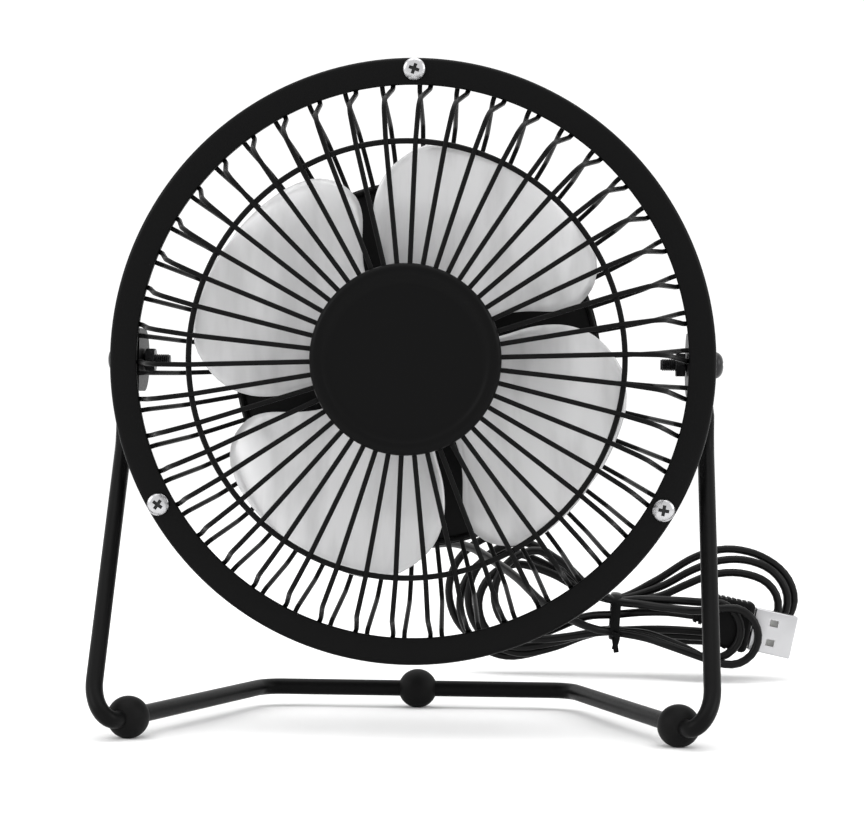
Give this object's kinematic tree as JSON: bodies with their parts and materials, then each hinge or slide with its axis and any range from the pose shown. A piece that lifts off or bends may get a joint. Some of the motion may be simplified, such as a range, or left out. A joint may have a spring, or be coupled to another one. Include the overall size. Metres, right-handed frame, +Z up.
{
  "type": "desk fan",
  "caption": "Caged metal desk fan that tilts in a bent-rod stand on ball feet, with a switch at the back and a USB cord in a tied bundle.",
  "frame": {"origin": "on the resting surface, under the middle of the stand", "axes": "+Z up, the fan blows towards -Y, +X is on the right in a front view"},
  "size_m": [0.1769, 0.1766, 0.158],
  "materials": {
    "black_paint": "satin black powder coat",
    "black_plastic": "fine satin",
    "black_rubber": "matt",
    "cord_jacket": "smooth PVC",
    "aluminium": "soft satin",
    "zinc_steel": "zinc plated",
    "black_steel": "black oxide",
    "brass": "sintered",
    "copper": "enamelled windings on a steel core",
    "white_plastic": "natural nylon"
  },
  "bodies": {
    "stand": {"stand_frame": "black_paint", "foot_front_left": "black_rubber", "foot_front_right": "black_rubber", "foot_rear": "black_rubber", "cord_lead": "cord_jacket", "cord_hank": "cord_jacket", "cable_tie": "black_plastic", "usb_body": "black_plastic", "usb_shell": "zinc_steel", "usb_tongue": "white_plastic"},
    "head": {"front_ring": "black_paint", "rear_ring": "black_paint", "front_guard": "black_paint", "rear_guard": "black_paint", "rear_plate": "black_paint", "front_cap": "black_plastic", "cap_retainer": "black_plastic", "motor_can": "zinc_steel", "motor_magnet": "black_steel", "motor_end_cap": "white_plastic", "bush_front": "brass", "bush_rear": "brass", "rear_cover": "black_plastic", "cover_screw_left": "zinc_steel", "cover_screw_right": "zinc_steel", "strain_relief": "black_rubber", "switch_body": "black_plastic", "cord_drop": "cord_jacket", "ring_screw_top": "zinc_steel", "ring_nut_top": "zinc_steel", "ring_screw_left": "zinc_steel", "ring_nut_left": "zinc_steel", "ring_screw_right": "zinc_steel", "ring_nut_right": "zinc_steel", "pivot_screw_left": "black_steel", "pivot_nut_left": "black_steel", "pivot_spacer_left": "black_rubber", "pivot_screw_right": "black_steel", "pivot_nut_right": "black_steel", "pivot_spacer_right": "black_rubber"},
    "fan": {"fan_blades": "aluminium", "blade_hub": "black_plastic", "motor_shaft": "zinc_steel", "motor_rotor": "copper"},
    "switch": {"switch_rocker": "black_plastic"}
  },
  "joints": [
    {"name": "head_tilt", "type": "hinge", "parent": "stand", "child": "head", "pos_m": [0, 0.0045, 0.0865], "axis": [-1, 0, 0], "range_deg": [0, 90]},
    {"name": "fan_spin", "type": "hinge", "parent": "head", "child": "fan", "pos_m": [0, -0.009, 0.0865], "axis": [0, 1, 0], "continuous": true},
    {"name": "power_switch", "type": "hinge", "parent": "head", "child": "switch", "pos_m": [0, 0.0372, 0.0865], "axis": [1, 0, 0], "range_deg": [0, 18]}
  ]
}
